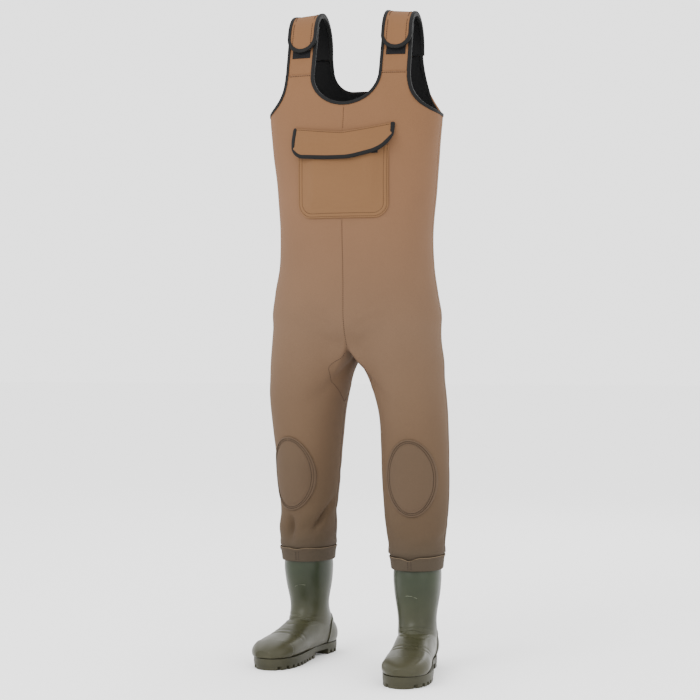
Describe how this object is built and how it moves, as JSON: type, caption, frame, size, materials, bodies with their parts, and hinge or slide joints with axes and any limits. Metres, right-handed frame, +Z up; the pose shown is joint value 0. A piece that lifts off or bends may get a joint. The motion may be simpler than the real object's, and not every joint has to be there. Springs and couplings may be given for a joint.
{
  "type": "chest waders",
  "caption": "Neoprene chest waders with bound armholes, hook-and-loop shoulder tabs, a flapped chest pocket, knee patches and moulded rubber boots.",
  "frame": {"origin": "under the middle of the whole part, on the plane that the boots' treads stand on", "axes": "+Z up, -Y the way the wearer faces, +X the wearer's left; +Z is the longest extent"},
  "size_m": [0.4289, 0.4278, 1.4667],
  "materials": {
    "neoprene": "matte knit face on foam rubber",
    "seam_tape": "black glued tape",
    "binding": "black folded knit binding",
    "hook_and_loop": "black hook and loop",
    "knee_patch": "matte knit face, double stitched",
    "boot_rubber": "satin moulded rubber",
    "sole_rubber": "matte moulded rubber",
    "boot_lining": "grey knit",
    "insole": "pressed felt"
  },
  "bodies": {
    "waders": {"crotch_gusset": "neoprene", "front_left_panel": "neoprene", "back_left_panel": "neoprene", "front_right_panel": "neoprene", "back_right_panel": "neoprene", "front_seam_tape": "seam_tape", "back_seam_tape": "seam_tape", "left_side_seam_tape": "seam_tape", "left_inseam_tape": "seam_tape", "right_side_seam_tape": "seam_tape", "right_inseam_tape": "seam_tape", "front_neck_binding": "binding", "back_neck_binding": "binding", "left_armhole_binding": "binding", "right_armhole_binding": "binding", "left_front_strap": "neoprene", "left_front_strap_binding": "binding", "left_shoulder_strap": "neoprene", "left_shoulder_strap_binding": "binding", "left_loop_patch": "hook_and_loop", "right_front_strap": "neoprene", "right_front_strap_binding": "binding", "right_shoulder_strap": "neoprene", "right_shoulder_strap_binding": "binding", "right_loop_patch": "hook_and_loop", "pocket_front": "neoprene", "pocket_loop_strip": "hook_and_loop", "flap_seam_strip": "neoprene", "left_knee_pad": "knee_patch", "left_cuff": "neoprene", "left_boot_upper": "boot_rubber", "left_boot_lining": "boot_lining", "left_insole": "insole", "left_toe_cap": "boot_rubber", "left_heel_counter": "boot_rubber", "left_outsole": "sole_rubber", "left_heel": "sole_rubber", "right_knee_pad": "knee_patch", "right_cuff": "neoprene", "right_boot_upper": "boot_rubber", "right_boot_lining": "boot_lining", "right_insole": "insole", "right_toe_cap": "boot_rubber", "right_heel_counter": "boot_rubber", "right_outsole": "sole_rubber", "right_heel": "sole_rubber"},
    "left_tab": {"left_strap_tab": "neoprene", "left_tab_binding": "binding", "left_hook_patch": "hook_and_loop"},
    "right_tab": {"right_strap_tab": "neoprene", "right_tab_binding": "binding", "right_hook_patch": "hook_and_loop"},
    "flap": {"pocket_flap": "neoprene", "pocket_flap_binding": "binding", "flap_hook_strip": "hook_and_loop"}
  },
  "joints": [
    {"name": "flap_hinge", "type": "hinge", "parent": "waders", "child": "flap", "pos_m": [-0.00685, -0.05678, 1.172], "axis": [-1, 0, 0], "range_deg": [0, 150]},
    {"name": "left_tab_hinge", "type": "hinge", "parent": "waders", "child": "left_tab", "pos_m": [0.10165, 0.01601, 1.42235], "axis": [-0.9972, -0.0528, 0.0524], "range_deg": [0, 140]},
    {"name": "right_tab_hinge", "type": "hinge", "parent": "waders", "child": "right_tab", "pos_m": [-0.11535, 0.01601, 1.42235], "axis": [-0.9972, 0.0528, -0.0524], "range_deg": [0, 140]}
  ]
}
